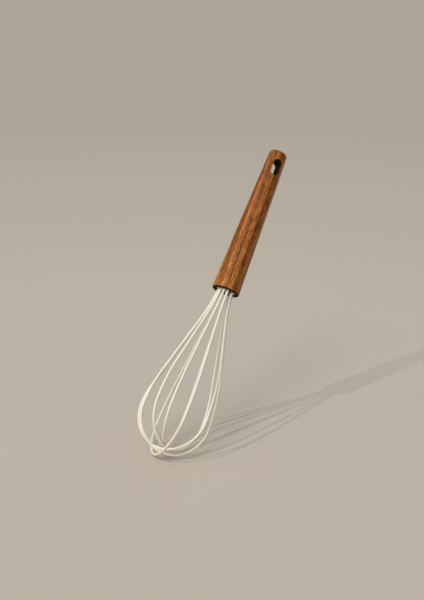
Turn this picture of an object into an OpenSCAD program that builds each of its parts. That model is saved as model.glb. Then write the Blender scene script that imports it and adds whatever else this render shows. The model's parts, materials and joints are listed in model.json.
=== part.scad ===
// Balloon whisk: a turned wooden handle and five nested, sleeved wire loops.
// The origin is the middle of the hanging slot, on the handle's axis. The whisk hangs
// from there: +Z runs up the axis, and the balloon's tip is at the bottom.
// The hanging slot runs along Y, and -Y is the front.

/* [Handle] */
// Length of the handle, from the wire end to the top
handle_len = 129.5; // [120:0.5:150]
// Diameter of the handle at the wire end
handle_wide_d = 22.9; // [21:0.1:24]
// Diameter of the handle at the top, before its rounding
handle_top_d = 15.1; // [13.5:0.1:17]
// How far the side bulges beyond a straight taper, at mid length
handle_bulge = 0.1; // [0:0.05:1]
// Radius of the rounding round the top end
top_round_r = 2.6; // [1.5:0.1:4]
// Radius of the rounding round the wire end
wide_round_r = 0.9; // [0.4:0.1:1.5]

/* [Hanging slot] */
// Width of the slot
slot_w = 7.4; // [5:0.1:8]
// Length of the slot from end to end
slot_len = 14.6; // [10:0.1:20]
// Wood left above the slot
slot_top_gap = 8.3; // [6:0.1:12]

/* [Wire end] */
// Outer diameter of the metal end cap
cap_d = 16; // [15.6:0.1:17]
// Thickness of the cap's metal
cap_wall = 0.8; // [0.5:0.1:0.9]
// How far the cap's face sits inside the wooden rim
cap_inset = 0.8; // [0:0.1:1.5]
// Thickness of the resin seal that fills the cap
seal_thickness = 4; // [2:0.5:6]
// Diameter of the wire holder
holder_d = 14.6; // [14.2:0.1:15.4]
// Length of the wire holder
holder_len = 30; // [24:1:40]

/* [Balloon] */
// Length of the balloon, from its tip to the handle
balloon_len = 148; // [147:1:158]
// Half width of the longest loop, to the middle of its wire
loop_half_w = 29; // [28:0.5:30]
// Height of the widest point above each loop's tip
belly_h = 31; // [30:0.5:32]
// How much of the lower quarter turn the side arc takes, in degrees
side_arc_turn = 58; // [54:1:62]
// Slope of the straight stretch against the whisk's axis, in degrees
strand_slope = 15; // [14.5:0.5:15.5]
// Radius of the gentle outward bend at the handle
flare_r = 160; // [150:1:168]
// How far the bend starts inside the handle
flare_inset = 13; // [11:0.5:15]
// Distance from the axis to the wire tails
tail_r = 5.3; // [5.1:0.1:5.4]

/* [Loops] */
// Direction of the loop in the first place, from the slot's front
first_place_turn = -30; // [-36:1:0]
// Place round the axis of each loop, from the longest loop to the shortest
loop_place = [1, 3, 2, 4, 0]; // [0:1:4]
// How far each loop stands from its even place, in degrees
loop_drift = [-5.5, 3, 12, -2, -3]; // [-6:0.5:12]
// How far each loop's lower end is pushed along its own plane
loop_skew = [-0.5, -1, -2.5, 0.5, 0]; // [-2.5:0.5:2]
// How far each loop leans out of its upright plane, in degrees
loop_tilt = [-1.6, -1.3, -1.9, -0.6, -0.6]; // [-2:0.1:0]
// How much shorter each next loop is
tip_step = 2.6; // [2.5:0.1:2.8]
// How much narrower each next loop is
width_step = 0.5; // [0.3:0.1:0.8]

/* [Wire] */
// Diameter of the cream sleeve
sleeve_d = 2.2; // [2:0.05:2.25]
// Diameter of the steel wire
wire_d = 1.3; // [1:0.05:1.5]
// Clearance left round a wire or sleeve in its bore
bore_gap = 0.03; // [0.02:0.01:0.05]

/* [Hidden] */

WOOD = [0.55, 0.31, 0.13];
STEEL = [0.78, 0.77, 0.75];
CREAM = [0.91, 0.88, 0.80];
DARK_PLASTIC = [0.16, 0.15, 0.14];
RESIN = [0.62, 0.55, 0.40];

eps = 0.01;            // overshoot that keeps cuts clean
lap_len = 0.05;        // how far a thicker stretch of rod runs over its neighbour
lap_step = 0.01;       // how much thicker it is
$fn = 64;
tube_fn = 32;          // facets round a wire
sweep_fn = 256;        // facets round a full turn of a bend
side_stations = 24;    // straight steps along the handle's side

loop_count = len(loop_place);
loop_step = 180 / loop_count;

// Heights, measured from the middle of the hanging slot
handle_top_z = slot_top_gap + slot_len / 2;
face_z = handle_top_z - handle_len;
lowest_z = face_z - balloon_len;

// Heights of the pieces stacked in the socket
cap_face_z = face_z + cap_inset;
cap_back_z = cap_face_z + cap_wall;
cap_depth = cap_wall + seal_thickness;
holder_z = cap_back_z + seal_thickness;
holder_top_z = holder_z + holder_len;
flare_top_z = face_z + flare_inset;
sleeve_top_z = flare_top_z + 6;
wire_top_z = holder_top_z - 4;

// The flare turns from vertical to the strand's slope
flare_end_z = flare_top_z - flare_r * sin(strand_slope);
flare_end_r = tail_r + flare_r * (1 - cos(strand_slope));

function loop_turn(i) = first_place_turn + loop_place[i] * loop_step + loop_drift[i];
// A tilted loop is a hair longer, so that its tip still comes down to its own height
function tip_z(i) =
    let (drop = flare_top_z - lowest_z - sleeve_d / 2 - i * tip_step)
    flare_top_z - drop / cos(loop_tilt[i]);
function belly_z(i) = tip_z(i) + belly_h;
function belly_r(i) = loop_half_w - i * width_step;

// Below the belly the side arc and the tip arc share a quarter turn.
// Their radii follow from the loop's half width and the belly's height.
lower_det = (1 - cos(side_arc_turn)) * (1 - sin(side_arc_turn))
          - cos(side_arc_turn) * sin(side_arc_turn);
function side_arc_r(i) =
    (belly_r(i) * (1 - sin(side_arc_turn)) - belly_h * cos(side_arc_turn)) / lower_det;
function tip_arc_r(i) =
    (belly_h * (1 - cos(side_arc_turn)) - belly_r(i) * sin(side_arc_turn)) / lower_det;

// Each side of a skewed loop has its belly at its own distance from the axis.
// Above it an arc leans in to the strand's slope, and a straight stretch meets
// the flare. Their sizes follow from the two ends.
function belly_x(i, side) = belly_r(i) + side * loop_skew[i];
function rise(i) = flare_end_z - belly_z(i);
function upper_arc_r(i, side) =
    let (run = belly_x(i, side) - flare_end_r)
    (rise(i) * sin(strand_slope) - run * cos(strand_slope)) / (1 - cos(strand_slope));
function straight_len(i, side) =
    (rise(i) - upper_arc_r(i, side) * sin(strand_slope)) / cos(strand_slope);

// Turns the XY plane's X and Y into X and Z
module upright() {
    rotate([90, 0, 0]) children();
}

// A bent rod in the XZ plane, centred on (cx, cz), from angle a0 to a1.
// Along a strand every second stretch has lap = lap_len: it is a hair thicker
// and runs over the ends of its neighbours, so that each join is a clean step.
module bend(cx, cz, bend_r, a0, a1, rod_d, lap = 0) {
    lap_angle = lap / bend_r * 180 / PI;
    translate([cx, 0, cz]) upright() rotate([0, 0, a0 - lap_angle])
        rotate_extrude(angle = a1 - a0 + 2 * lap_angle, $fn = sweep_fn)
            translate([bend_r, 0]) circle(d = rod_d + (lap > 0 ? lap_step : 0), $fn = tube_fn);
}

// The tail inside the handle and the bend that leads it out, on the +X side
module tail(rod_d, top_z) {
    translate([tail_r, 0, flare_top_z])
        cylinder(d = rod_d, h = top_z - flare_top_z, $fn = tube_fn);
    bend(tail_r + flare_r, flare_top_z, flare_r, 180, 180 + strand_slope, rod_d, lap_len);
}

// One strand of loop i, drawn on the +X side, from its top down to the tip arc.
// Side is 1 for the strand towards the loop's turn and -1 for the one opposite.
module strand(i, side, rod_d, top_z) {
    upper_r = upper_arc_r(i, side);
    side_r = side_arc_r(i);
    tail(rod_d, top_z);
    translate([flare_end_r, 0, flare_end_z]) rotate([0, 180 - strand_slope, 0])
        cylinder(d = rod_d, h = straight_len(i, side), $fn = tube_fn);
    bend(belly_x(i, side) - upper_r, belly_z(i), upper_r, 0, strand_slope, rod_d, lap_len);
    bend(belly_x(i, side) - side_r, belly_z(i), side_r, -side_arc_turn, 0, rod_d);
}

// Turns what is drawn in the XZ plane to loop i's place round the axis, and leans it
// by the loop's tilt about the level line through the tops of its flares
module in_place(i) {
    rotate([0, 0, loop_turn(i) - 90])
        translate([0, 0, flare_top_z]) rotate([loop_tilt[i], 0, 0]) translate([0, 0, -flare_top_z])
            children();
}

// Loop i as a rod of the given diameter, in its place
module loop_rod(i, rod_d, top_z) {
    tip_r = tip_arc_r(i);
    in_place(i) {
        strand(i, 1, rod_d, top_z);
        rotate([0, 0, 180]) strand(i, -1, rod_d, top_z);
        bend(loop_skew[i], tip_z(i) + tip_r, tip_r,
             side_arc_turn - 180, -side_arc_turn, rod_d, lap_len);
    }
}

// Every tail, at the given diameter, for boring the pieces in the socket
module all_tails(rod_d, top_z) {
    for (i = [0 : loop_count - 1]) in_place(i)
        for (side = [0, 180]) rotate([0, 0, side]) tail(rod_d, top_z);
}

function taper_r(z) =
    let (t = z / handle_len)
    handle_wide_d / 2 + (handle_top_d - handle_wide_d) / 2 * t + handle_bulge * 4 * t * (1 - t);

function corner(cx, cz, r, a0, a1, steps) =
    [for (k = [0 : steps]) let (a = a0 + (a1 - a0) * k / steps) [cx + r * cos(a), cz + r * sin(a)]];

// The turned outline, from the axis at the wire end to the axis at the top
module handle_outline() {
    low_z = wide_round_r;
    high_z = handle_len - top_round_r;
    side = [
        for (k = [0 : side_stations])
            let (z = low_z + (high_z - low_z) * k / side_stations) [taper_r(z), z]
    ];
    polygon(concat(
        [[0, 0]],
        corner(taper_r(low_z) - wide_round_r, low_z, wide_round_r, -90, -15, 5),
        side,
        corner(taper_r(high_z) - top_round_r, high_z, top_round_r, 15, 90, 5),
        [[0, handle_len]]
    ));
}

// A stadium-shaped bar along Y, which cuts the slot
module hanging_slot() {
    travel = (slot_len - slot_w) / 2;
    for (side = [-1, 1]) translate([0, 0, side * travel])
        upright() cylinder(d = slot_w, h = handle_wide_d, center = true);
    cube([slot_w, handle_wide_d, 2 * travel], center = true);
}

// The stepped socket: a wide recess for the cap, then the bore for the holder
module socket() {
    translate([0, 0, face_z - eps]) cylinder(d = cap_d, h = cap_inset + cap_depth + eps);
    translate([0, 0, face_z]) cylinder(d = holder_d, h = holder_top_z - face_z);
}

module handle() {
    color(WOOD) difference() {
        translate([0, 0, face_z]) rotate_extrude() handle_outline();
        hanging_slot();
        socket();
    }
}

module end_cap() {
    color(STEEL) difference() {
        translate([0, 0, cap_face_z]) cylinder(d = cap_d, h = cap_depth);
        translate([0, 0, cap_back_z])
            cylinder(d = cap_d - 2 * cap_wall, h = cap_depth);
        all_tails(sleeve_d + 2 * bore_gap, sleeve_top_z);
    }
}

module resin_seal() {
    color(RESIN) difference() {
        translate([0, 0, cap_back_z])
            cylinder(d = cap_d - 2 * cap_wall, h = seal_thickness);
        all_tails(sleeve_d + 2 * bore_gap, sleeve_top_z);
    }
}

module wire_holder() {
    color(DARK_PLASTIC) difference() {
        translate([0, 0, holder_z]) cylinder(d = holder_d, h = holder_len);
        all_tails(sleeve_d + 2 * bore_gap, sleeve_top_z);
        all_tails(wire_d + 2 * bore_gap, wire_top_z);
    }
}

module loop_wire(i) {
    color(STEEL) loop_rod(i, wire_d, wire_top_z);
}

module loop_sleeve(i) {
    color(CREAM) difference() {
        loop_rod(i, sleeve_d, sleeve_top_z);
        loop_rod(i, wire_d, sleeve_top_z + 1);
    }
}

handle();
end_cap();
wire_holder();
resin_seal();
loop_wire(0);  // loop_wire_1
loop_wire(1);  // loop_wire_2
loop_wire(2);  // loop_wire_3
loop_wire(3);  // loop_wire_4
loop_wire(4);  // loop_wire_5
loop_sleeve(0);  // loop_sleeve_1
loop_sleeve(1);  // loop_sleeve_2
loop_sleeve(2);  // loop_sleeve_3
loop_sleeve(3);  // loop_sleeve_4
loop_sleeve(4);  // loop_sleeve_5
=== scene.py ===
"""Balloon whisk: the looks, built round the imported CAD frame.

Everything is in metres in the row's frame: +Z runs up the whisk's axis and the
origin is the middle of the hanging slot. The camera and the floor are tilted
against that axis, because the photographed whisk leans on its balloon.
"""
import json
import math

import bmesh
import bpy
import numpy as np
from mathutils import Matrix, Vector


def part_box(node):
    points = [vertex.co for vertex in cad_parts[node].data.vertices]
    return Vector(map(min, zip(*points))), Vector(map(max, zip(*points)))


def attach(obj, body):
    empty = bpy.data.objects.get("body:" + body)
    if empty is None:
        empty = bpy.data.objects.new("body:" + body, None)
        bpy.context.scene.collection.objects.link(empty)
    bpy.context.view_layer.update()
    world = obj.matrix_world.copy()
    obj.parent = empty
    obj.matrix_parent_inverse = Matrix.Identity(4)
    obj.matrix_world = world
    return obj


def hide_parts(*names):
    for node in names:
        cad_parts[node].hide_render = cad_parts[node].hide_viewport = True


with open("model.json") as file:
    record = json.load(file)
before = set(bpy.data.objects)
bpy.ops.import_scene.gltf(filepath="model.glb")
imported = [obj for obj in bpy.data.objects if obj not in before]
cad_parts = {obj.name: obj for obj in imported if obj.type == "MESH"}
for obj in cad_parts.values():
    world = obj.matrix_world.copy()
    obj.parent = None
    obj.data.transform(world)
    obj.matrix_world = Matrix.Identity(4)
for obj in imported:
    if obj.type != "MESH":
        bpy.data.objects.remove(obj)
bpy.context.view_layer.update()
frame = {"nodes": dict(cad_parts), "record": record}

MM = 0.001
TAU = 2 * math.pi
BODY = "root"
LOOPS = 5


# ---------------------------------------------------------------- frame sizes

def vertices_of(node):
    """A CAD node's vertices as an array."""
    return np.array([v.co for v in frame["nodes"][node].data.vertices])


def mount_named(name):
    return next(m for m in frame["record"]["mounts"] if m["name"] == name)


handle_low, handle_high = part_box("handle")
cap_low, cap_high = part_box("end_cap")
holder_low, holder_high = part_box("wire_holder")
slot_mount = mount_named("hanging_slot")

FACE_Z = handle_low.z                 # the handle's wire end
TOP_Z = handle_high.z
RIM_ROUND = 0.9 * MM                  # rounding of the wooden rim
LIP_ROUND = 0.3 * MM                  # rounding of the edge between the rim and the cap
TOP_ROUND = 2.6 * MM                  # rounding of the handle's top
TOP_CROWN = 0.25 * MM                 # how much the top's middle stands up
SIDE_LOW_Z = FACE_Z + RIM_ROUND       # the turned side runs between its two roundings
SIDE_HIGH_Z = TOP_Z - TOP_ROUND
CAP_R = (cap_high.x - cap_low.x) / 2
HOLDER_R = (holder_high.x - holder_low.x) / 2
SLOT_Z = slot_mount["pos_m"][2]
SLOT_R = slot_mount["dims"]["hole_r_mm"] * MM
SLOT_TRAVEL = slot_mount["dims"]["slot_length_mm"] * MM / 2 - SLOT_R
SLOT_EASE = 0.5 * MM                  # rounding of the slot's edges


def fit_side():
    """The turned side as a smooth curve of radius against height, without the socket's vertices."""
    co = vertices_of("handle")
    radius = np.hypot(co[:, 0], co[:, 1])
    stations = [z for z in np.unique(np.round(co[:, 2], 5)) if SIDE_LOW_Z <= z <= SIDE_HIGH_Z]
    widest = [radius[abs(co[:, 2] - z) < MM / 50].max() for z in stations]
    outer = [(z, r) for z, r in zip(stations, widest) if z > holder_high.z or r > CAP_R + MM]
    return np.polyfit(*zip(*outer), 2)


SIDE_CURVE = fit_side()


def side_radius(z):
    return float(np.polyval(SIDE_CURVE, z))


# ------------------------------------------------------------------ the view

LEAN = math.radians(21.25)            # the whisk's lean to the right in the picture
NOD = math.radians(15.9)              # its tip leans this much towards the camera
CAMERA_TURN = math.radians(-18.3)     # the camera stands left of the slot's front
CAMERA_PITCH = math.radians(22.0)     # the camera looks down at the floor by this much
LENS = 120.0
SENSOR = 36.0
VIEW_HEIGHT = 489.7 * MM              # what the picture takes in at the wire end's distance
AIM_RIGHT = -10.9 * MM                # the picture's middle, from the wire end
AIM_UP = -6.8 * MM
CLIP_START = 0.01
CLIP_END = 50.0


def camera_axes():
    """The camera's right, up and backward directions in the row's frame."""
    c, s = math.cos(CAMERA_TURN), math.sin(CAMERA_TURN)
    cl, sl = math.cos(LEAN), math.sin(LEAN)
    cn, sn = math.cos(NOD), math.sin(NOD)
    right = Vector((c * cl + s * sl * sn, s * cl - c * sl * sn, sl * cn))
    up = Vector((-c * sl + s * cl * sn, -s * sl - c * cl * sn, cl * cn))
    back = Vector((s * cn, -c * cn, -sn))
    return right, up, back


RIGHT, UP, BACK = camera_axes()
WORLD_UP = UP * math.cos(CAMERA_PITCH) + BACK * math.sin(CAMERA_PITCH)


# ------------------------------------------------------------- mesh helpers

def new_piece(name, bm, material, replaced):
    """Turns a bmesh into a smooth piece that rides on the body."""
    bmesh.ops.recalc_face_normals(bm, faces=bm.faces)
    mesh = bpy.data.meshes.new(name)
    bm.to_mesh(mesh)
    bm.free()
    mesh.shade_smooth()
    mesh.materials.append(material)
    piece = bpy.data.objects.new(name, mesh)
    bpy.context.scene.collection.objects.link(piece)
    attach(piece, BODY)
    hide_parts(replaced)
    return piece


def arc_points(centre, radius, start, end, steps):
    """Points on an arc round a centre, from one angle to another."""
    points = []
    for k in range(steps + 1):
        angle = start + (end - start) * k / steps
        points.append((centre[0] + radius * math.cos(angle), centre[1] + radius * math.sin(angle)))
    return points


def line_points(start, end, steps):
    """Evenly spaced points on a straight line."""
    points = []
    for k in range(steps + 1):
        share = k / steps
        points.append((start[0] + (end[0] - start[0]) * share, start[1] + (end[1] - start[1]) * share))
    return points


def ring_of_vertices(bm, radius, z, columns):
    """A level circle of vertices. Its columns run from -Y towards +X."""
    ring = []
    for k in range(columns):
        angle = TAU * k / columns
        ring.append(bm.verts.new((radius * math.sin(angle), -radius * math.cos(angle), z)))
    return ring


def join_rings(bm, first, second, skip=None):
    """A closed band of quads between two rings of equal length, less any columns to skip."""
    count = len(first)
    for k in range(count):
        if skip is None or not skip(k):
            n = (k + 1) % count
            bm.faces.new((first[k], first[n], second[n], second[k]))


def join_all(bm, rings):
    """Bands of quads from each ring to the next."""
    for first, second in zip(rings, rings[1:]):
        join_rings(bm, first, second)


def close_ring(bm, ring, centre):
    """A fan of triangles from a ring to a centre point."""
    tip = bm.verts.new(centre)
    for k in range(len(ring)):
        bm.faces.new((ring[k], ring[(k + 1) % len(ring)], tip))


# ------------------------------------------------------------------- handle

HANDLE_COLUMNS = 192
HALF_TURN = HANDLE_COLUMNS // 2       # columns from the front to the back
RIM_STEPS = 7
LIP_STEPS = 4
TOP_STEPS = 12
TOP_START = math.radians(8)           # the top's rounding starts this far round
CROWN_SHARES = (0.75, 0.5, 0.25)      # how far out the crowned top's rings are

# The slot is cut in a patch of the side, in front and behind.
ROWS_BELOW_PATCH = 109
PATCH_ROWS = 40
ROWS_ABOVE_PATCH = 5
PATCH_HALF_COLUMNS = 22               # columns either side of the patch's middle
PATCH_HALF_HEIGHT = SLOT_TRAVEL + SLOT_R + 2.2 * MM
PATCH_RINGS = 9                       # rings from the patch's border to the slot's edge
EASE_RINGS = 6                        # rings round the slot's rounded edge
TUNNEL_RINGS = 10


def handle_rows():
    """The turned side's (radius, z) rows, from the wire end up."""
    patch_low = SLOT_Z - PATCH_HALF_HEIGHT
    patch_high = SLOT_Z + PATCH_HALF_HEIGHT
    below = np.linspace(SIDE_LOW_Z, patch_low, ROWS_BELOW_PATCH + 1)
    patch = np.linspace(patch_low, patch_high, PATCH_ROWS + 1)
    above = np.linspace(patch_high, SIDE_HIGH_Z, ROWS_ABOVE_PATCH + 1)
    return [(side_radius(z), z) for z in np.concatenate([below[:-1], patch, above[1:]])]


def stadium_point(share, grow):
    """A point on the slot's outline as (x, z), with the outline grown outwards.

    Share runs once round from the middle of the +X side, going up."""
    lengths = [SLOT_TRAVEL, math.pi * SLOT_R, 2 * SLOT_TRAVEL, math.pi * SLOT_R, SLOT_TRAVEL]
    way = (share % 1.0) * sum(lengths)
    reach = SLOT_R + grow
    if way < lengths[0]:
        return reach, SLOT_Z + way
    way -= lengths[0]
    if way < lengths[1]:
        angle = way / SLOT_R
        return reach * math.cos(angle), SLOT_Z + SLOT_TRAVEL + reach * math.sin(angle)
    way -= lengths[1]
    if way < lengths[2]:
        return -reach, SLOT_Z + SLOT_TRAVEL - way
    way -= lengths[2]
    if way < lengths[3]:
        angle = math.pi + way / SLOT_R
        return reach * math.cos(angle), SLOT_Z - SLOT_TRAVEL + reach * math.sin(angle)
    way -= lengths[3]
    return reach, SLOT_Z - SLOT_TRAVEL + way


def in_patch(column):
    """Whether a column of quads is in the front or back patch."""
    return (column + PATCH_HALF_COLUMNS) % HALF_TURN < 2 * PATCH_HALF_COLUMNS


def patch_border(grid, column_of):
    """The grid's vertices round a patch, once round from the middle of its +X side."""
    low = ROWS_BELOW_PATCH
    high = ROWS_BELOW_PATCH + PATCH_ROWS
    middle = (low + high) // 2
    w = PATCH_HALF_COLUMNS
    border = [(row, w) for row in range(middle, high)]
    border += [(high, k) for k in range(w, -w, -1)]
    border += [(row, -w) for row in range(high, low, -1)]
    border += [(low, k) for k in range(-w, w)]
    border += [(row, w) for row in range(low, middle)]
    return [grid[row][column_of(k)] for row, k in border]


def border_shares(border):
    """How far round the border each vertex is, from 0 to 1."""
    flat = [Vector((v.co.x, v.co.z)) for v in border]
    steps = [(flat[(k + 1) % len(flat)] - flat[k]).length for k in range(len(flat))]
    total = sum(steps)
    return [sum(steps[:k]) / total for k in range(len(flat))]


def side_point(x, z, depth, face):
    """A point on the turned side at (x, z), sunk by depth. Face is -1 in front and 1 behind."""
    return x, face * (math.sqrt(side_radius(z) ** 2 - x * x) - depth), z


def closing_ring(bm, border, edge, share, face):
    """A ring on the turned side, a share of the way from the border to the slot's edge."""
    ring = []
    for v, (edge_x, edge_z) in zip(border, edge):
        turn_out = math.asin(v.co.x / side_radius(v.co.z))
        turn_in = math.asin(edge_x / side_radius(edge_z))
        z = v.co.z + (edge_z - v.co.z) * share
        x = side_radius(z) * math.sin(turn_out + (turn_in - turn_out) * share)
        ring.append(bm.verts.new(side_point(x, z, 0.0, face)))
    return ring


def easing_ring(bm, shares, progress, face):
    """A ring on the slot's rounded edge. Progress runs to 1 at the slot's inner wall."""
    angle = math.pi / 2 * (1 - progress)
    grow = SLOT_EASE * (1 - math.cos(angle))
    depth = SLOT_EASE * (1 - math.sin(angle))
    ring = []
    for share in shares:
        x, z = stadium_point(share, grow)
        ring.append(bm.verts.new(side_point(x, z, depth, face)))
    return ring


def slot_opening(bm, border, shares, face):
    """Fills a patch with rings that close in on the slot. Returns the innermost ring."""
    edge = [stadium_point(share, SLOT_EASE) for share in shares]
    rings = [border]
    for step in range(1, PATCH_RINGS + 1):
        rings.append(closing_ring(bm, border, edge, step / PATCH_RINGS, face))
    for step in range(1, EASE_RINGS + 1):
        rings.append(easing_ring(bm, shares, step / EASE_RINGS, face))
    join_all(bm, rings)
    return rings[-1]


def slot_tunnel(bm, front, back):
    """The slot's inner wall, from the front ring to the back one."""
    rings = [front]
    for step in range(1, TUNNEL_RINGS):
        share = step / TUNNEL_RINGS
        rings.append([bm.verts.new(a.co.lerp(b.co, share)) for a, b in zip(front, back)])
    rings.append(back)
    join_all(bm, rings)


def cut_slot(bm, grid):
    """Fills the front and back patches round the slot, and joins them through the wood."""
    front = patch_border(grid, lambda k: k % HANDLE_COLUMNS)
    back = patch_border(grid, lambda k: HALF_TURN - k)
    shares = border_shares(front)
    slot_tunnel(bm, slot_opening(bm, front, shares, -1), slot_opening(bm, back, shares, 1))


def wire_end_rows():
    """Rows of the rim and the socket, from the rim's outside to the socket's end."""
    rim_centre = (side_radius(SIDE_LOW_Z) - RIM_ROUND, SIDE_LOW_Z)
    lip_centre = (CAP_R + LIP_ROUND, FACE_Z + LIP_ROUND)
    rows = arc_points(rim_centre, RIM_ROUND, 0, -math.pi / 2, RIM_STEPS)[1:]
    rows += arc_points(lip_centre, LIP_ROUND, -math.pi / 2, -math.pi, LIP_STEPS)
    rows += [(CAP_R, cap_high.z), (HOLDER_R, cap_high.z), (HOLDER_R, holder_high.z)]
    return rows


def top_rows():
    """Rows from the side's end over the rounding to the crowned top."""
    flat_r = side_radius(SIDE_HIGH_Z) - TOP_ROUND
    centre = (flat_r, SIDE_HIGH_Z - TOP_CROWN)
    rows = arc_points(centre, TOP_ROUND, TOP_START, math.pi / 2, TOP_STEPS)
    rows += [(flat_r * share, TOP_Z - TOP_CROWN * share ** 2) for share in CROWN_SHARES]
    return rows


def close_end(bm, ring, rows, centre):
    """Carries the turned surface on from a ring through more rows, and closes it."""
    rings = [ring] + [ring_of_vertices(bm, r, z, HANDLE_COLUMNS) for r, z in rows]
    join_all(bm, rings)
    close_ring(bm, rings[-1], centre)


def build_handle(material):
    """The turned handle with its socket, its hanging slot and its crowned top."""
    bm = bmesh.new()
    grid = [ring_of_vertices(bm, r, z, HANDLE_COLUMNS) for r, z in handle_rows()]
    for row in range(len(grid) - 1):
        beside_slot = ROWS_BELOW_PATCH <= row < ROWS_BELOW_PATCH + PATCH_ROWS
        join_rings(bm, grid[row], grid[row + 1], skip=in_patch if beside_slot else None)
    cut_slot(bm, grid)
    close_end(bm, grid[0], wire_end_rows(), (0, 0, holder_high.z))
    close_end(bm, grid[-1], top_rows(), (0, 0, TOP_Z))
    return new_piece("turned_handle", bm, material, "handle")


# -------------------------------------------------------------- wire loops

SLEEVE_R = 1.1 * MM
BORE_R = 0.68 * MM                    # the sleeve's hollow, just over the wire
TUBE_SIDES = 28
ARC_STEP = 1.0 * MM                   # length of a step along a bend
MIN_ARC_STEPS = 3
TAIL_STEPS = 2
STRAIGHT_STEPS = 24
STRAND_SLOPE = math.radians(15)       # slope of a strand's straight stretch
SIDE_TURN = math.radians(58)          # how far the side arc turns before the tip arc
FLARE_R = 160 * MM
TAIL_R = 5.3 * MM                     # the tails' distance from the axis
FLARE_TOP_Z = FACE_Z + 13 * MM


def middle_of(points):
    return (points.max(axis=0) + points.min(axis=0)) / 2


def loop_turn(co):
    """How far a loop is turned about the axis, from the top ends of its two strands."""
    ends = co[co[:, 2] > co[:, 2].max() - MM / 10]
    same_strand = ends[:, :2] @ ends[0, :2] > 0
    across = middle_of(ends[same_strand]) - middle_of(ends[~same_strand])
    return math.atan2(across[1], across[0])


def loop_shape(node):
    """Where a loop stands and how it leans, measured on its CAD solid.

    A loop is flat. It leans about the level line through the tops of its flares."""
    co = vertices_of(node)
    turn = loop_turn(co)
    along = co[:, 0] * math.cos(turn) + co[:, 1] * math.sin(turn)
    out = co[:, 1] * math.cos(turn) - co[:, 0] * math.sin(turn)
    down = FLARE_TOP_Z - co[:, 2]
    lowest = down.argmax()
    lean = math.atan2(out[lowest], down[lowest] - SLEEVE_R)
    own_z = FLARE_TOP_Z - down * math.cos(lean) - out * math.sin(lean)
    reach_out = along.max() - SLEEVE_R
    reach_back = -along.min() - SLEEVE_R
    tip_z = own_z.min() + SLEEVE_R
    return {
        "turn": turn,
        "lean": lean,
        "half_width": (reach_out + reach_back) / 2,
        "skew": (reach_out - reach_back) / 2,
        "tip_z": tip_z,
        "belly_h": own_z[along.argmax()] - tip_z,
        "top_z": own_z.max(),
    }


def bend(centre, radius, start, end):
    """Points along an arc in the loop's plane, without its first point."""
    steps = max(MIN_ARC_STEPS, int(abs(end - start) * radius / ARC_STEP))
    return arc_points(centre, radius, start, end, steps)[1:]


def balloon_radii(half_width, belly_h):
    """Radii of the side and tip arcs that span the half width and the belly's height."""
    c, s = math.cos(SIDE_TURN), math.sin(SIDE_TURN)
    det = (1 - c) * (1 - s) - c * s
    side_r = (half_width * (1 - s) - belly_h * c) / det
    tip_r = (belly_h * (1 - c) - half_width * s) / det
    return side_r, tip_r


def upper_radius(belly_x, belly_z):
    """Radius of the arc from a strand's straight stretch round to the belly's widest point."""
    flare_end_x = TAIL_R + FLARE_R * (1 - math.cos(STRAND_SLOPE))
    flare_end_z = FLARE_TOP_Z - FLARE_R * math.sin(STRAND_SLOPE)
    rise = flare_end_z - belly_z
    run = belly_x - flare_end_x
    slack = rise * math.sin(STRAND_SLOPE) - run * math.cos(STRAND_SLOPE)
    return slack / (1 - math.cos(STRAND_SLOPE))


def strand_points(shape, side):
    """One strand in the loop's plane as (distance from the axis, z), from its top to its tip."""
    push = side * shape["skew"]
    belly_x = shape["half_width"] + push
    belly_z = shape["tip_z"] + shape["belly_h"]
    side_r, tip_r = balloon_radii(shape["half_width"], shape["belly_h"])
    upper_r = upper_radius(belly_x, belly_z)
    upper_top = (
        belly_x - upper_r * (1 - math.cos(STRAND_SLOPE)),
        belly_z + upper_r * math.sin(STRAND_SLOPE),
    )
    points = line_points((TAIL_R, shape["top_z"]), (TAIL_R, FLARE_TOP_Z), TAIL_STEPS)
    points += bend((TAIL_R + FLARE_R, FLARE_TOP_Z), FLARE_R, math.pi, math.pi + STRAND_SLOPE)
    points += line_points(points[-1], upper_top, STRAIGHT_STEPS)[1:]
    points += bend((belly_x - upper_r, belly_z), upper_r, STRAND_SLOPE, 0)
    points += bend((belly_x - side_r, belly_z), side_r, 0, -SIDE_TURN)
    points += bend((push, shape["tip_z"] + tip_r), tip_r, -SIDE_TURN, -math.pi / 2)
    return points


def loop_path(shape):
    """The whole loop in its plane, from the top of one strand to the top of the other."""
    out = strand_points(shape, 1)
    back = strand_points(shape, -1)
    return out + [(-x, z) for x, z in reversed(back[:-1])]


def tube_rings(bm, path, shape, radius):
    """Rings of vertices along a loop's path, in its leaning plane."""
    turn = shape["turn"]
    along = Vector((math.cos(turn), math.sin(turn), 0))
    across = Vector((-math.sin(turn), math.cos(turn), 0))
    up = Vector((0, 0, 1))
    down = across * math.sin(shape["lean"]) - up * math.cos(shape["lean"])
    points = [along * x + up * FLARE_TOP_Z + down * (FLARE_TOP_Z - z) for x, z in path]
    rings = []
    for k, centre in enumerate(points):
        tangent = (points[min(k + 1, len(points) - 1)] - points[max(k - 1, 0)]).normalized()
        normal = across.cross(tangent).normalized()
        across = tangent.cross(normal)
        ring = []
        for j in range(TUBE_SIDES):
            angle = TAU * j / TUBE_SIDES
            out = normal * math.cos(angle) + across * math.sin(angle)
            ring.append(bm.verts.new(centre + out * radius))
        rings.append(ring)
    return rings


def build_sleeve(number, material):
    """A hollow sleeve over the steel wire of one loop."""
    node = f"loop_sleeve_{number}"
    shape = loop_shape(node)
    path = loop_path(shape)
    bm = bmesh.new()
    outside = tube_rings(bm, path, shape, SLEEVE_R)
    inside = tube_rings(bm, path, shape, BORE_R)
    join_all(bm, outside)
    join_all(bm, inside)
    join_rings(bm, outside[0], inside[0])
    join_rings(bm, outside[-1], inside[-1])
    return new_piece(f"cream_sleeve_{number}", bm, material, node)


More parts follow.
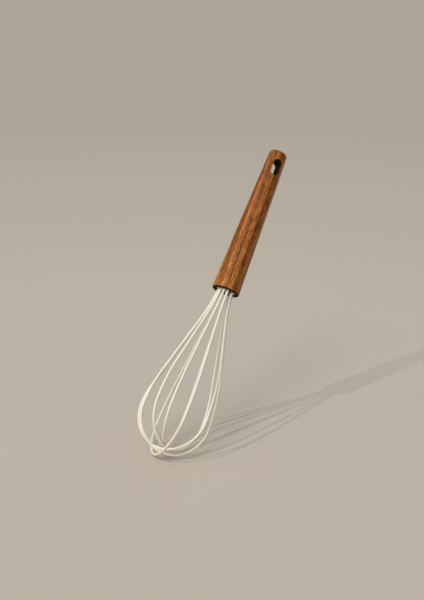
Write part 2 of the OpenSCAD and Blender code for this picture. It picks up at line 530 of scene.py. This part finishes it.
# ---------------------------------------------------------------- materials

class Nodes:
    """A short way to write a node material."""

    def __init__(self, name):
        self.material = bpy.data.materials.new(name)
        self.material.use_nodes = True
        self.tree = self.material.node_tree
        self.shader = self.tree.nodes["Principled BSDF"]

    def add(self, kind, inputs=None, **settings):
        """Adds a node, sets its properties, and sets or links its inputs."""
        node = self.tree.nodes.new(kind)
        for key, value in settings.items():
            setattr(node, key, value)
        for key, value in (inputs or {}).items():
            self.feed(node, key, value)
        return node

    def feed(self, node, key, value):
        """Links an input to a socket, or sets it to a value."""
        if isinstance(value, bpy.types.NodeSocket):
            self.tree.links.new(value, node.inputs[key])
        else:
            node.inputs[key].default_value = value

    def place(self, scale=(1, 1, 1), offset=(0, 0, 0), turn=(0, 0, 0)):
        """Object coordinates in millimetres, stretched, moved and turned."""
        coordinates = self.add("ShaderNodeTexCoord").outputs["Object"]
        size = tuple(s / MM for s in scale)
        return self.add(
            "ShaderNodeMapping",
            {"Vector": coordinates, "Location": offset, "Rotation": turn, "Scale": size},
        ).outputs["Vector"]

    def part(self, where, axis):
        """The X, Y or Z of a place."""
        return self.add("ShaderNodeSeparateXYZ", {"Vector": where}).outputs[axis]

    def length(self, where):
        """A place's distance from the origin."""
        return self.add("ShaderNodeVectorMath", {0: where}, operation="LENGTH").outputs["Value"]

    def noise(self, where, scale, detail, roughness=0.5):
        return self.add(
            "ShaderNodeTexNoise",
            {"Vector": where, "Scale": scale, "Detail": detail, "Roughness": roughness},
        ).outputs["Fac"]

    def ramp(self, value, stops):
        """A colour ramp. Stops are (position, colour)."""
        node = self.add("ShaderNodeValToRGB", {"Fac": value})
        elements = node.color_ramp.elements
        while len(elements) < len(stops):
            elements.new(0.5)
        for element, (position, colour) in zip(elements, stops):
            element.position = position
            element.color = (*colour, 1)
        return node.outputs["Color"]

    def levels(self, value, low, high, out_low=0.0, out_high=1.0):
        """Maps low to out_low and high to out_high, and clamps beyond them."""
        return self.add(
            "ShaderNodeMapRange",
            {"Value": value, "From Min": low, "From Max": high, "To Min": out_low, "To Max": out_high},
        ).outputs["Result"]

    def maths(self, operation, a, b=0.0):
        return self.add("ShaderNodeMath", {0: a, 1: b}, operation=operation).outputs[0]

    def times(self, a, b):
        return self.maths("MULTIPLY", a, b)

    def total(self, first, *others):
        """The sum of two or more values."""
        for other in others:
            first = self.maths("ADD", first, other)
        return first

    def mix(self, a, b, share):
        """Mixes two colours. A share of 1 is all b."""
        node = self.add("ShaderNodeMix", data_type="RGBA")
        self.feed(node, 0, share)
        self.feed(node, 6, a if isinstance(a, bpy.types.NodeSocket) else (*a, 1))
        self.feed(node, 7, b if isinstance(b, bpy.types.NodeSocket) else (*b, 1))
        return node.outputs[2]

    def bump(self, height, strength, distance):
        inputs = {"Height": height, "Strength": strength, "Distance": distance}
        return self.add("ShaderNodeBump", inputs).outputs["Normal"]

    def finish(self, **inputs):
        """Feeds the shader. A name's underscores stand for spaces."""
        for key, value in inputs.items():
            self.feed(self.shader, key.replace("_", " "), value)
        return self.material


WOOD_COLOURS = [
    (0.0, (0.085, 0.022, 0.004)),
    (0.28, (0.190, 0.054, 0.008)),
    (0.52, (0.315, 0.099, 0.015)),
    (0.76, (0.440, 0.160, 0.033)),
    (1.0, (0.620, 0.285, 0.095)),
]
PORE_COLOUR = (0.060, 0.020, 0.006)
# Painted shade: the dark colour inside the slot and on the rim at the wires.
SHADE_COLOUR = (0.014, 0.006, 0.003)
TONE_AT_TOP = -0.055                  # the wood is darker at the top than at the wire end
TONE_AT_FACE = 0.035
SLOT_END = (SLOT_TRAVEL + SLOT_R + SLOT_EASE) / MM


def growth_layers(m):
    """How far across the wood's growth layers a point is, in millimetres.

    The layers are edge on to the camera. They run almost along the handle, and wander."""
    wander = m.noise(m.place((1, 1, 0.20)), 0.10, 3.0)
    turned = m.place(turn=(0, 0, -CAMERA_TURN))
    lean = m.times(m.part(turned, "Z"), 0.015)
    return m.total(m.part(turned, "X"), lean, m.times(wander, 3.0))


def wood_tone(m, streaks, fibres):
    """How pale the wood is, before its pores: growth rings, streaks and fibres.

    The wood grows paler from the handle's top to its wire end."""
    layers = growth_layers(m)
    rings = m.maths("SINE", m.times(layers, 2.3))
    broad = m.maths("SINE", m.maths("SUBTRACT", m.times(layers, 0.95), 0.33))
    height = m.part(m.place(), "Z")
    paler = m.levels(height, TOP_Z / MM, FACE_Z / MM, TONE_AT_TOP, TONE_AT_FACE)
    figure = m.total(m.times(rings, 0.035), m.times(broad, 0.070), paler)
    return m.total(figure, m.times(streaks, 0.75), m.times(fibres, 0.45))


def painted_shade_parts(m):
    """1 where the wood gets painted shade: inside the slot, and on the rim at the wires."""
    height = m.part(m.place(), "Z")
    from_axis = m.length(m.place((1, 1, 0)))
    side = side_radius(SLOT_Z)
    rim = m.levels(height, (FACE_Z + RIM_ROUND) / MM, (FACE_Z + RIM_ROUND / 3) / MM)
    sunk = m.levels(from_axis, (side - SLOT_EASE) / MM, (side - 3 * SLOT_EASE) / MM)
    near_slot = m.maths("LESS_THAN", m.maths("ABSOLUTE", height), SLOT_END)
    # The slot's painted shade, a little lighter towards its lower end.
    slot_shade = m.times(near_slot, m.levels(height, -SLOT_END, 0.0, 0.80, 1.0))
    return m.maths("MAXIMUM", rim, m.times(sunk, slot_shade))


def wood_material():
    """Oiled hardwood: growth layers, streaks and pores along the handle's axis."""
    m = Nodes("oiled_hardwood")
    streaks = m.noise(m.place((1, 1, 0.13)), 0.8, 5.0, 0.70)
    fibres = m.noise(m.place((1, 1, 0.16)), 2.4, 3.0, 0.65)
    pores = m.levels(m.noise(m.place((1, 1, 0.20), (7, 3, 0)), 1.1, 3.0), 0.56, 0.66)
    painted_shade = painted_shade_parts(m)
    colour = m.ramp(m.levels(wood_tone(m, streaks, fibres), 0.40, 0.80), WOOD_COLOURS)
    colour = m.mix(colour, PORE_COLOUR, m.times(pores, 0.50))
    # Painted shade inside the slot and on the rim at the wires, with less gloss there.
    colour = m.mix(colour, SHADE_COLOUR, m.times(painted_shade, 0.94))
    grain = m.maths("SUBTRACT", fibres, m.times(pores, 0.7))
    return m.finish(
        Base_Color=colour, Normal=m.bump(grain, 0.35, 0.08 * MM),
        Roughness=m.levels(streaks, 0.3, 0.7, 0.60, 0.48),
        Specular_IOR_Level=m.levels(painted_shade, 0, 1, 0.14, 0.03),
        Coat_Weight=m.levels(painted_shade, 0, 1, 0.03, 0.0), Coat_Roughness=0.45,
    )


def silicone_material():
    """Cream silicone over wire: soft satin, a little light passing through it."""
    m = Nodes("cream_silicone")
    cloud = m.noise(m.place(), 0.25, 3.0)
    fine = m.noise(m.place(), 5.0, 2.0)
    return m.finish(
        Base_Color=m.mix((0.80, 0.735, 0.60), (0.86, 0.81, 0.69), cloud),
        Roughness=m.levels(fine, 0.3, 0.7, 0.42, 0.52),
        Normal=m.bump(fine, 0.15, 0.02 * MM),
        Subsurface_Weight=0.15, Subsurface_Radius=(0.6, 0.45, 0.3), Subsurface_Scale=MM,
        Coat_Weight=0.15, Coat_Roughness=0.3,
    )


def spring_material():
    """Spring steel with smudges, and fine marks drawn out along the wire."""
    m = Nodes("spring_steel")
    marks = m.noise(m.place((1, 1, 0.1)), 6.0, 4.0, 0.7)
    smudge = m.noise(m.place(), 0.5, 2.0)
    return m.finish(
        Base_Color=m.mix((0.66, 0.65, 0.63), (0.80, 0.79, 0.77), marks), Metallic=1.0,
        Roughness=m.total(m.levels(marks, 0.3, 0.7, 0.21, 0.39), m.times(smudge, 0.05)),
        Normal=m.bump(marks, 0.1, 0.01 * MM),
    )


def cap_material():
    """The end cap: a polished ring round a middle painted dark, as painted shade in the recess where the
    wires leave.
    """
    m = Nodes("polished_steel")
    marks = m.noise(m.place(), 2.0, 4.0, 0.7)
    from_axis = m.length(m.place((1, 1, 0)))
    ring = m.levels(from_axis, (CAP_R - 1.8 * MM) / MM, (CAP_R - 1.5 * MM) / MM)
    # Painted shade: the steel inside the ring is coloured dark, duller and less metallic, for the shaded
    # recess.
    shaded_well = m.mix((0.035, 0.033, 0.030), (0.075, 0.070, 0.062), marks)
    return m.finish(
        Base_Color=m.mix(shaded_well, (0.93, 0.92, 0.90), ring),
        Metallic=m.levels(ring, 0, 1, 0.6, 1.0), Roughness=m.levels(ring, 0, 1, 0.5, 0.2),
        Normal=m.bump(marks, 0.15, 0.02 * MM),
    )


def moulded_material(name, colour, roughness):
    """Moulded plastic or cured resin with a slight mottle."""
    m = Nodes(name)
    mottle = m.noise(m.place(), 1.5, 3.0)
    darker = tuple(c * 0.75 for c in colour)
    return m.finish(
        Base_Color=m.mix(darker, colour, mottle), Roughness=roughness,
        Normal=m.bump(mottle, 0.2, 0.03 * MM),
    )


def dress_cad_nodes():
    """Materials for the CAD nodes that stay."""
    spring = spring_material()
    dressed = {
        "end_cap": (cap_material(), "polished_steel"),
        "wire_holder": (moulded_material("holder_plastic", (0.028, 0.026, 0.024), 0.5), "holder_plastic"),
        "resin_seal": (moulded_material("cured_resin", (0.34, 0.26, 0.13), 0.25), "resin"),
    }
    for number in range(1, LOOPS + 1):
        dressed[f"loop_wire_{number}"] = (spring, "spring_steel")
    for node, (material, slot) in dressed.items():
        piece = frame["nodes"][node]
        piece.data.materials.clear()
        piece.data.materials.append(material)


# ------------------------------------------------------- camera, floor, light

FLOOR_R = 1.0
FLOOR_SIDES = 96
FLOOR_COLOUR_1 = (0.494, 0.438, 0.376)
FLOOR_COLOUR_2 = (0.510, 0.453, 0.395)
GLOW_COLOUR = (0.491, 0.434, 0.366)
BACKDROP_COLOUR = (0.429, 0.381, 0.328)
BLACK = (0, 0, 0)
WORLD_STRENGTH = 0.25
LIGHT_DISTANCE = 10.0
WARM = (1.0, 0.98, 0.95)
NEUTRAL = (1.0, 0.99, 0.97)


def build_camera():
    """The camera that matches the photograph."""
    data = bpy.data.cameras.new("camera")
    data.lens = LENS
    data.sensor_width = SENSOR
    data.clip_start = CLIP_START
    data.clip_end = CLIP_END
    distance = LENS / SENSOR * VIEW_HEIGHT
    place = Vector((0, 0, FACE_Z)) + RIGHT * AIM_RIGHT + UP * AIM_UP + BACK * distance
    camera = bpy.data.objects.new("camera", data)
    camera.matrix_world = Matrix.Translation(place) @ Matrix((RIGHT, UP, BACK)).transposed().to_4x4()
    bpy.context.scene.collection.objects.link(camera)
    bpy.context.scene.camera = camera


def lowest_point():
    """The whisk's lowest point against the floor's direction."""
    points = np.concatenate([vertices_of(f"loop_sleeve_{n}") for n in range(1, LOOPS + 1)])
    return Vector(points[(points @ np.array(WORLD_UP)).argmin()])


def floor_material():
    """A pale floor that fades into the backdrop and can't be seen from below.

    To the camera it also glows, more so further out, so that the shadows fade away."""
    m = Nodes("pale_floor")
    away = m.length(m.place())
    seen = m.add("ShaderNodeLightPath").outputs["Is Camera Ray"]
    underside = m.add("ShaderNodeNewGeometry").outputs["Backfacing"]
    glow = m.levels(away, 80, 280, 0.10, 0.50)
    plain = m.mix(FLOOR_COLOUR_1, FLOOR_COLOUR_2, m.noise(m.place(), 0.02, 3.0))
    m.finish(
        Base_Color=m.mix(plain, BLACK, glow), Roughness=0.75, Specular_IOR_Level=0.08,
        Emission_Color=(*GLOW_COLOUR, 1), Emission_Strength=m.times(seen, glow),
    )
    hidden = m.maths("MAXIMUM", m.levels(away, 350, 900), m.times(underside, seen))
    clear = m.add("ShaderNodeBsdfTransparent")
    both = m.add("ShaderNodeMixShader", {0: hidden, 1: m.shader.outputs[0], 2: clear.outputs[0]})
    m.tree.links.new(both.outputs[0], m.tree.nodes["Material Output"].inputs["Surface"])
    return m.material


def build_floor():
    """A round floor under the whisk's lowest point."""
    bm = bmesh.new()
    bmesh.ops.create_circle(bm, cap_ends=True, segments=FLOOR_SIDES, radius=FLOOR_R)
    mesh = bpy.data.meshes.new("floor")
    bm.to_mesh(mesh)
    bm.free()
    mesh.materials.append(floor_material())
    floor = bpy.data.objects.new("floor", mesh)
    turn = WORLD_UP.to_track_quat("Z", "Y").to_matrix().to_4x4()
    floor.matrix_world = Matrix.Translation(lowest_point()) @ turn
    bpy.context.scene.collection.objects.link(floor)


def build_backdrop():
    """The world: a warm grey seen by the camera, and soft light for the whisk."""
    world = bpy.data.worlds.new("backdrop")
    bpy.context.scene.world = world
    world.use_nodes = True
    tree = world.node_tree
    tree.nodes.clear()
    seen = tree.nodes.new("ShaderNodeBackground")
    seen.inputs["Color"].default_value = (*BACKDROP_COLOUR, 1)
    light = tree.nodes.new("ShaderNodeBackground")
    light.inputs["Color"].default_value = (1, 1, 1, 1)
    light.inputs["Strength"].default_value = WORLD_STRENGTH
    path = tree.nodes.new("ShaderNodeLightPath")
    both = tree.nodes.new("ShaderNodeMixShader")
    output = tree.nodes.new("ShaderNodeOutputWorld")
    tree.links.new(path.outputs["Is Camera Ray"], both.inputs[0])
    tree.links.new(light.outputs[0], both.inputs[1])
    tree.links.new(seen.outputs[0], both.inputs[2])
    tree.links.new(both.outputs[0], output.inputs["Surface"])


def area_light(name, direction, size, power, colour):
    """A square light that faces the whisk. Direction is (right, up, back) of the picture."""
    data = bpy.data.lights.new(name, "AREA")
    data.shape = "SQUARE"
    data.size = size
    data.energy = power
    data.color = colour
    light = bpy.data.objects.new(name, data)
    aim = (RIGHT * direction[0] + UP * direction[1] + BACK * direction[2]).normalized()
    facing = aim.to_track_quat("Z", "Y").to_matrix().to_4x4()
    light.matrix_world = Matrix.Translation(Vector((0, 0, FACE_Z)) + aim * LIGHT_DISTANCE) @ facing
    bpy.context.scene.collection.objects.link(light)


def build_lights():
    """A small key for the thin shadows on the floor, and large lights for the rest."""
    area_light("key", (-0.62, 0.56, 0.55), 0.12, 250.0, WARM)
    area_light("soft_key", (-0.40, 0.48, 0.78), 4.0, 360.0, WARM)
    area_light("overhead", (-0.22, 0.92, 0.32), 9.0, 180.0, NEUTRAL)
    area_light("front", (-0.15, 0.35, 0.92), 8.0, 250.0, NEUTRAL)
    area_light("back", (0.52, 0.30, -0.80), 7.0, 700.0, NEUTRAL)


# ------------------------------------------------------------------- scene

build_handle(wood_material())
cream = silicone_material()
for loop_number in range(1, LOOPS + 1):
    build_sleeve(loop_number, cream)
dress_cad_nodes()
bpy.context.scene.view_settings.view_transform = "Standard"
build_camera()
build_floor()
build_backdrop()
build_lights()
